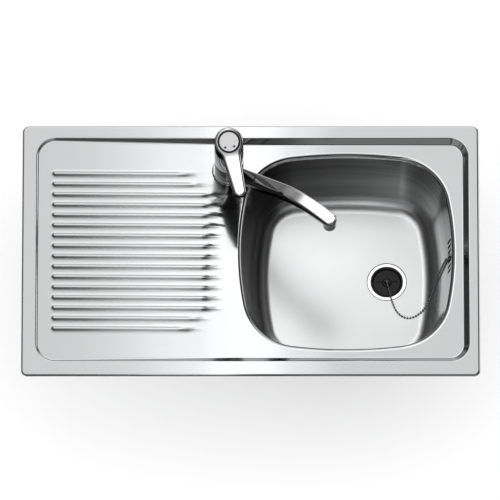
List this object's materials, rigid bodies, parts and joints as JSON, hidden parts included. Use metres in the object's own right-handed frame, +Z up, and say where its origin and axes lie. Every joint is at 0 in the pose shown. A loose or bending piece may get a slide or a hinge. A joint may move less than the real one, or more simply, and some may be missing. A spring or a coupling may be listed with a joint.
{
  "type": "inset kitchen sink with drainboard and mixer tap",
  "caption": "Stainless inset sink with one deep bowl, a ribbed drainboard, plug on a ball chain, slotted overflow and a single-lever mixer tap.",
  "frame": {"origin": "centre of the sink's outline on the worktop plane", "axes": "+X along the sink from the drainboard to the bowl, +Y to the back where the tap stands, +Z up; z = 0 is the worktop that the rim rests on"},
  "size_m": [0.86, 0.5, 0.4061],
  "materials": {
    "stainless": "satin, smooth pressed sheet",
    "polished_steel": "bright polished",
    "zinc_steel": "zinc plated",
    "chrome_plate": "mirror bright",
    "raw_brass": "machined",
    "black_rubber": "matt black",
    "foam_seal": "closed-cell foam",
    "sound_damping": "matt damping sheet",
    "white_moulding": "moulded polypropylene",
    "grey_moulding": "moulded polypropylene",
    "dark_ring": "black slide ring",
    "indicator_plastic": "light grey gloss",
    "hot_inlay": "dark red dot",
    "cold_inlay": "dark blue dot"
  },
  "bodies": {
    "sink": {"deck": "stainless", "bowl": "stainless", "waste_gasket": "black_rubber", "waste_flange": "polished_steel", "waste_washer": "black_rubber", "waste_body": "white_moulding", "waste_insert": "raw_brass", "waste_screw": "polished_steel", "plug_chain": "polished_steel", "overflow_gasket": "black_rubber", "overflow_head": "white_moulding", "overflow_screw": "polished_steel", "chain_anchor": "polished_steel", "overflow_pipe": "white_moulding", "pipe_nuts": "grey_moulding", "rim_seal": "foam_seal", "clip_rail_front": "zinc_steel", "clip_rail_back": "zinc_steel", "clip_rail_left": "zinc_steel", "clip_rail_right": "zinc_steel", "fixing_clips": "zinc_steel", "clip_screws": "zinc_steel", "sound_pad": "sound_damping", "tap_gasket": "black_rubber", "base_ring": "chrome_plate", "lower_slide_ring": "dark_ring", "upper_slide_ring": "dark_ring", "tap_body": "chrome_plate", "spout_o_rings": "black_rubber", "cartridge_housing": "grey_moulding", "cartridge_nut": "raw_brass", "cartridge_dome": "chrome_plate", "tap_stiffener": "grey_moulding", "clamp_rubber": "black_rubber", "clamp_plate": "zinc_steel", "tap_stud": "zinc_steel", "tap_nut": "raw_brass"},
    "spout": {"spout": "chrome_plate", "aerator_shell": "chrome_plate", "aerator_insert": "dark_ring", "aerator_washer": "black_rubber"},
    "turret": {"cartridge_rotor": "white_moulding", "stem_pin": "polished_steel"},
    "lever": {"handle": "chrome_plate", "cartridge_stem": "raw_brass", "handle_screw": "polished_steel", "indicator_cap": "indicator_plastic", "hot_mark": "hot_inlay", "cold_mark": "cold_inlay"},
    "plug": {"plug": "black_rubber", "plug_eye": "polished_steel"}
  },
  "joints": [
    {"name": "spout_swivel", "type": "hinge", "parent": "sink", "child": "spout", "pos_m": [-0.0407, 0.163, 0.03], "axis": [0, 0, 1], "continuous": true},
    {"name": "lever_turn", "type": "hinge", "parent": "sink", "child": "turret", "pos_m": [-0.0407, 0.163, 0.124], "axis": [0, 0, 1], "range_deg": [-45, 45]},
    {"name": "lever_lift", "type": "hinge", "parent": "turret", "child": "lever", "pos_m": [-0.0407, 0.163, 0.124], "axis": [-0.9799, -0.1994, 0], "range_deg": [0, 22]},
    {"name": "plug_lift", "type": "slide", "parent": "sink", "child": "plug", "axis": [0, 0, 1], "range_m": [0, 0.08], "deforming": ["plug_chain"]}
  ]
}
